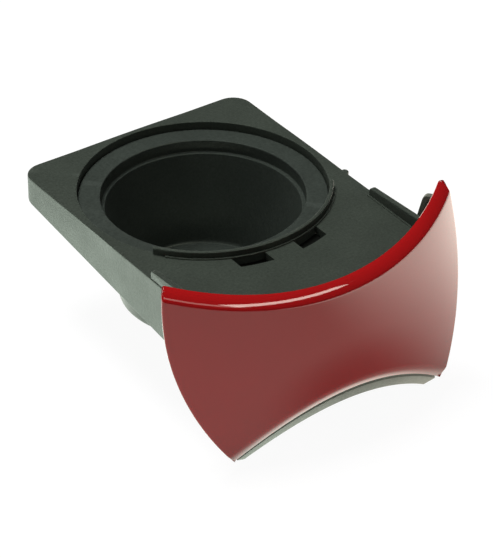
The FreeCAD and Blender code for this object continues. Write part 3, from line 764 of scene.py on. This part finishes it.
class HolderSizes(bpy.types.PropertyGroup):
    """Small rounds, bevels and chamfers that give the mouldings their edges."""
    deck_round: FloatProperty(
        name="Deck edge", description="Round along the outer edge of the deck", default=0.0005,
        unit="LENGTH", precision=5)
    rim_round: FloatProperty(
        name="Rim edge", description="Round along the raised rim", default=0.0004, unit="LENGTH", precision=5)
    cup_round: FloatProperty(
        name="Cup edge", description="Round at the mouth of the pod cup", default=0.0004, unit="LENGTH", precision=5)
    cover_top_drop: FloatProperty(
        name="Cover top drop", description="Height of the bevel along the cover's top edge", default=0.0034,
        unit="LENGTH", precision=5)
    cover_top_reach: FloatProperty(
        name="Cover top reach", description="Depth of the bevel along the cover's top edge", default=0.0026,
        unit="LENGTH", precision=5)
    cover_foot_rise: FloatProperty(
        name="Cover foot rise", description="Height of the chamfer along the cover's arch", default=0.0036,
        unit="LENGTH", precision=5)
    cover_foot_reach: FloatProperty(
        name="Cover foot reach", description="Depth of the chamfer along the cover's arch", default=0.0017,
        unit="LENGTH", precision=5)


class HolderColours(bpy.types.PropertyGroup):
    """Base colours of the finishes."""
    tray: FloatVectorProperty(
        name="Tray", description="Moulded tray", default=(0.038, 0.046, 0.037), subtype="COLOR", min=0, max=1)
    cup: FloatVectorProperty(
        name="Cup", description="Pod cup", default=(0.033, 0.04, 0.034), subtype="COLOR", min=0, max=1)
    backing: FloatVectorProperty(
        name="Backing", description="Backing of the front", default=(0.13, 0.138, 0.112), subtype="COLOR", min=0, max=1)
    cover: FloatVectorProperty(
        name="Cover", description="Red gloss of the front", default=(0.43, 0.007, 0.008), subtype="COLOR", min=0, max=1)
    # Painted shade: the snap arms are coloured near black, darker than the backing they belong to, so that the deck's
    # windows read as shaded holes
    snap_arms_painted_shade: FloatVectorProperty(
        name="Snap arms", description="Snap arms in the deck's windows", default=(0.006, 0.007, 0.006),
        subtype="COLOR", min=0, max=1)
    screws: FloatVectorProperty(
        name="Screws", description="Plated screws", default=(0.55, 0.55, 0.54), subtype="COLOR", min=0, max=1)
    floor: FloatVectorProperty(
        name="Floor", description="Studio floor", default=(0.8, 0.8, 0.8), subtype="COLOR", min=0, max=1)


class HOLDER_OT_tray(bpy.types.Operator):
    """Build the moulded tray."""
    bl_idname = "pod_holder.tray"
    bl_label = "Tray"

    def execute(self, context):
        scene = context.scene
        finish = moulded_plastic("tray_plastic_finish", scene.holder_colours.tray, 0.46, 0.8, 0.5)
        make_piece("tray", tray_shells(scene.holder_sizes), finish, "drawer", "holder_body")
        return {"FINISHED"}


class HOLDER_OT_cup(bpy.types.Operator):
    """Build the lift-out pod cup."""
    bl_idname = "pod_holder.cup"
    bl_label = "Pod cup"

    def execute(self, context):
        scene = context.scene
        finish = moulded_plastic("cup_plastic_finish", scene.holder_colours.cup, 0.44, 0.5, 0.5)
        make_piece("cup_ring", cup_shells(scene.holder_sizes), finish, "cup", "pod_cup")
        return {"FINISHED"}


class HOLDER_OT_backing(bpy.types.Operator):
    """Build the black backing of the front."""
    bl_idname = "pod_holder.backing"
    bl_label = "Backing"

    def execute(self, context):
        scene = context.scene
        finish = moulded_plastic("backing_plastic_finish", scene.holder_colours.backing, 0.46, 0.5, 0.8)
        make_piece("backing", backing_shells(), finish, "drawer", "front_backing")
        # Painted shade: near-black snap arms fill the deck's windows and stand in for the shade inside them
        painted_shade_finish = moulded_plastic("snap_arm_painted_shade", scene.holder_colours.snap_arms_painted_shade, 0.6, 0.4, 0.2)
        arm = arm_shell()
        make_piece("snap_arms_painted_shade", [arm, mirrored(arm)], painted_shade_finish, "drawer", "front_backing")
        return {"FINISHED"}


class HOLDER_OT_cover(bpy.types.Operator):
    """Build the red gloss cover."""
    bl_idname = "pod_holder.cover"
    bl_label = "Red cover"

    def execute(self, context):
        scene = context.scene
        finish = gloss_lacquer("red_gloss_finish", scene.holder_colours.cover)
        make_piece("cover", cover_shells(scene.holder_sizes), finish, "drawer", "front_cover")
        return {"FINISHED"}


class HOLDER_OT_screws(bpy.types.Operator):
    """Build the two screws."""
    bl_idname = "pod_holder.screws"
    bl_label = "Screws"

    def execute(self, context):
        finish = plated_steel("screw_steel_finish", context.scene.holder_colours.screws)
        make_piece("screws", screw_shells(), finish, "drawer", "front_screws")
        return {"FINISHED"}


def background_ray(tree):
    """1 for a ray that shows the background: camera, glossy or transmission."""
    path = tree.nodes.new("ShaderNodeLightPath")
    value = path.outputs["Is Camera Ray"]
    for name in ("Is Glossy Ray", "Is Transmission Ray"):
        node = tree.nodes.new("ShaderNodeMath")
        node.operation = "MAXIMUM"
        tree.links.new(value, node.inputs[0])
        tree.links.new(path.outputs[name], node.inputs[1])
        value = node.outputs[0]
    return value


def multiply_add(tree, first, second, third):
    """First times second plus third."""
    node = tree.nodes.new("ShaderNodeMath")
    node.operation = "MULTIPLY_ADD"
    for socket, value in zip(node.inputs, (first, second, third)):
        tree.links.new(value, socket)
    return node.outputs[0]


def glowing_paper(tree, shade, colour, strength):
    """Paper that takes a shadow and glows."""
    paper = add_node(tree, "ShaderNodeBsdfDiffuse", Color=(shade, shade, shade, 1))
    glow = add_node(tree, "ShaderNodeEmission", Color=colour, Strength=strength)
    both = tree.nodes.new("ShaderNodeAddShader")
    tree.links.new(paper.outputs[0], both.inputs[0])
    tree.links.new(glow.outputs[0], both.inputs[1])
    return both.outputs[0]


def distance_from(tree, spot, point):
    """Distance of a shaded spot from a point."""
    node = tree.nodes.new("ShaderNodeVectorMath")
    node.operation = "DISTANCE"
    tree.links.new(spot, node.inputs[0])
    node.inputs[1].default_value = point
    return node.outputs["Value"]


def mixed(tree, fac, first, second):
    """First shader where fac is 0, second where it is 1."""
    node = tree.nodes.new("ShaderNodeMixShader")
    for socket, value in zip(node.inputs, (fac, first, second)):
        tree.links.new(value, socket)
    return node.outputs[0]


def softbox(name, place, aim, width, height, power):
    """Large soft area lamp at a place, turned to an aim."""
    lamp = bpy.data.lights.new(name, "AREA")
    lamp.shape = "RECTANGLE"
    lamp.size, lamp.size_y = width, height
    lamp.energy = power
    holder = bpy.data.objects.new(name, lamp)
    bpy.context.scene.collection.objects.link(holder)
    direction = np.array(aim) - np.array(place)
    holder.location = place
    holder.rotation_euler = (
        math.atan2(math.hypot(direction[0], direction[1]), -direction[2]), 0,
        math.atan2(direction[1], direction[0]) - math.pi / 2)
    holder.visible_camera = False
    return holder


class HOLDER_OT_stage(bpy.types.Operator):
    """Set up the floor, the light and the camera."""
    bl_idname = "pod_holder.stage"
    bl_label = "Studio"

    def execute(self, context):
        scene = context.scene
        scene.view_settings.view_transform = "Standard"
        reach = FLOOR_REACH
        mesh = bpy.data.meshes.new("floor")
        corners = [(-reach, -reach, 0), (reach, -reach, 0), (reach, reach, 0), (-reach, reach, 0)]
        mesh.from_pydata(corners, [], [(0, 1, 2, 3)])
        floor = bpy.data.objects.new("floor", mesh)
        scene.collection.objects.link(floor)
        material = bpy.data.materials.new("floor_paper")
        material.use_nodes = True
        tree = material.node_tree
        tree.nodes.clear()
        paper = add_node(tree, "ShaderNodeBsdfDiffuse", Color=(*scene.holder_colours.floor, 1))
        spot = tree.nodes.new("ShaderNodeTexCoord").outputs["Object"]
        place = add_node(tree, "ShaderNodeSeparateXYZ", Vector=spot).outputs
        # Painted light and shade on the floor as it is seen in reflections only: a glow under the part, a painted
        # shadow spot in front of it, a glow that grows to the right, a glow behind on the left, and a green tint on the
        # left turning warm on the right. The camera sees an even white floor, and diffuse light sees plain paper.
        front_axis = (0, (AXIS_Y + ORIGIN[1]) / 1000, 0)
        # painted light: within 81 mm of the front's axis, under the part where the floor lies in shadow, the floor
        # glows in reflections
        under = eased(tree, distance_from(tree, spot, front_axis), 0.087, 0.081, 0.0, 1.5)
        # painted shadow: a darker spot on the floor in front of the part, seen in reflections
        near = eased(tree, distance_from(tree, spot, PAINTED_SHADOW_SPOT), 0.01, 0.055, 0.4, 1.0)
        # painted light: the floor seen in reflections glows more to the right, and behind on the left
        right = eased(tree, place["X"], 0.035, 0.15, 0.95, 3.3)
        left = eased(tree, place["X"], -0.03, -0.065, 0.0, 1.4)
        behind = eased(tree, place["Y"], -0.03, 0.02, 0.0, 1.0)
        painted_glow_ahead = multiply_add(tree, near, right, under)
        painted_reflection_glow = multiply_add(tree, left, behind, painted_glow_ahead)
        side = eased(tree, place["X"], -0.05, 0.05, 0.0, 1.0)
        # painted reflection: the floor seen in reflections is tinted green on the left and warm on the right
        painted_reflection_tint = tinted(tree, side, (0.9, 1.0, 0.9), (1.0, 0.92, 0.81))
        painted_reflection_floor = glowing_paper(tree, FLOOR_SHADE, painted_reflection_tint.outputs[MIX_RESULT], painted_reflection_glow)
        shown_floor = glowing_paper(tree, FLOOR_SHADE, (1, 1, 1, 1), FLOOR_GLOW)
        to_camera = tree.nodes.new("ShaderNodeLightPath").outputs["Is Camera Ray"]
        backdrop = mixed(tree, to_camera, painted_reflection_floor, shown_floor)
        surface = mixed(tree, background_ray(tree), paper.outputs[0], backdrop)
        output = tree.nodes.new("ShaderNodeOutputMaterial")
        tree.links.new(surface, output.inputs["Surface"])
        mesh.materials.append(material)

        world = bpy.data.worlds.new("studio")
        scene.world = world
        world.use_nodes = True
        tree = world.node_tree
        tree.nodes.clear()
        place = tree.nodes.new("ShaderNodeTexCoord").outputs["Generated"]
        height = add_node(tree, "ShaderNodeSeparateXYZ", Vector=place).outputs["Z"]
        fade = eased(tree, height, 0.02, 0.1, 1.0, 0.04)
        shown = add_node(tree, "ShaderNodeBackground", Color=(1, 1, 1, 1), Strength=fade)
        fill = add_node(tree, "ShaderNodeBackground", Color=(1, 1, 1, 1), Strength=FILL)
        surface = mixed(tree, background_ray(tree), fill.outputs[0], shown.outputs[0])
        output = tree.nodes.new("ShaderNodeOutputWorld")
        tree.links.new(surface, output.inputs["Surface"])

        strips = (
            softbox("front_strip", (0.33, -0.7, 0.98), AIM, 0.62, 0.14, 2.4),
            softbox("left_strip", (-0.26, -0.72, 0.92), AIM, 0.8, 0.1, 0.6),
        )
        for strip in strips:
            strip.data.color = STRIP_COLOUR
            strip.visible_diffuse = False
        top = softbox("top_softbox", (-0.05, 0.2, 0.61), AIM, 0.3, 0.3, 4.4)
        top.visible_glossy = False

        camera = bpy.data.cameras.new("photo_camera")
        camera.sensor_fit = "VERTICAL"
        camera.sensor_height = SENSOR_HEIGHT
        camera.lens = LENS
        camera.clip_start = 0.05
        holder = bpy.data.objects.new("photo_camera", camera)
        holder.location = CAMERA_PLACE
        holder.rotation_euler = CAMERA_TURN
        scene.collection.objects.link(holder)
        scene.camera = holder
        return {"FINISHED"}


OPERATORS = (
    HOLDER_OT_tray, HOLDER_OT_cup, HOLDER_OT_backing, HOLDER_OT_cover, HOLDER_OT_screws, HOLDER_OT_stage,
)


class HOLDER_PT_panel(bpy.types.Panel):
    """Sizes, colours and build buttons of the pod holder."""
    bl_label = "Pod holder"
    bl_idname = "HOLDER_PT_panel"
    bl_space_type = "VIEW_3D"
    bl_region_type = "UI"
    bl_category = "Pod holder"

    def draw(self, context):
        for group in (context.scene.holder_sizes, context.scene.holder_colours):
            for name in group.__annotations__:
                self.layout.prop(group, name)
        for operator in OPERATORS:
            self.layout.operator(operator.bl_idname)


CLASSES = (HolderSizes, HolderColours, *OPERATORS, HOLDER_PT_panel)


def register():
    for item in CLASSES:
        bpy.utils.register_class(item)
    bpy.types.Scene.holder_sizes = PointerProperty(type=HolderSizes)
    bpy.types.Scene.holder_colours = PointerProperty(type=HolderColours)


def unregister():
    del bpy.types.Scene.holder_colours
    del bpy.types.Scene.holder_sizes
    for item in reversed(CLASSES):
        bpy.utils.unregister_class(item)


def main():
    """Register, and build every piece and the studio."""
    register()
    bpy.ops.pod_holder.tray()
    bpy.ops.pod_holder.cup()
    bpy.ops.pod_holder.backing()
    bpy.ops.pod_holder.cover()
    bpy.ops.pod_holder.screws()
    bpy.ops.pod_holder.stage()


if __name__ == "__main__":
    main()
